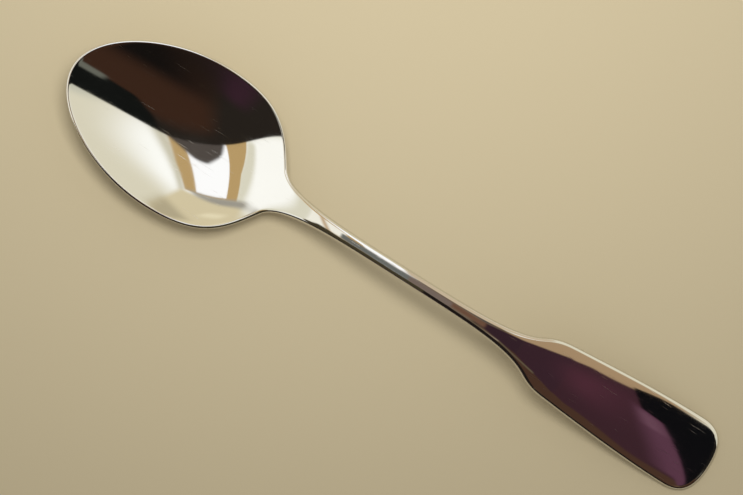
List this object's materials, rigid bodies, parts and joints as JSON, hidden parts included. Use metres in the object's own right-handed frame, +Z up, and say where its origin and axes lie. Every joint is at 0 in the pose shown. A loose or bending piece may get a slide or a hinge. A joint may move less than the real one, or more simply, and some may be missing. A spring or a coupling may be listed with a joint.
{
  "type": "tablespoon",
  "caption": "Polished stainless steel tablespoon with an egg-shaped bowl, a slender arched stem and a spade-shaped handle with a bowed end.",
  "frame": {"origin": "bottom centre of the spoon's bounding box: half way along its length, on the middle line, on the table it lies on", "axes": "+X along the spoon from the bowl's tip to the handle's end, +Z up from the table, bowl hollow side up"},
  "size_m": [0.205, 0.044, 0.0204],
  "materials": {
    "steel": "polished"
  },
  "bodies": {
    "root": {"spoon": "steel"}
  },
  "joints": []
}
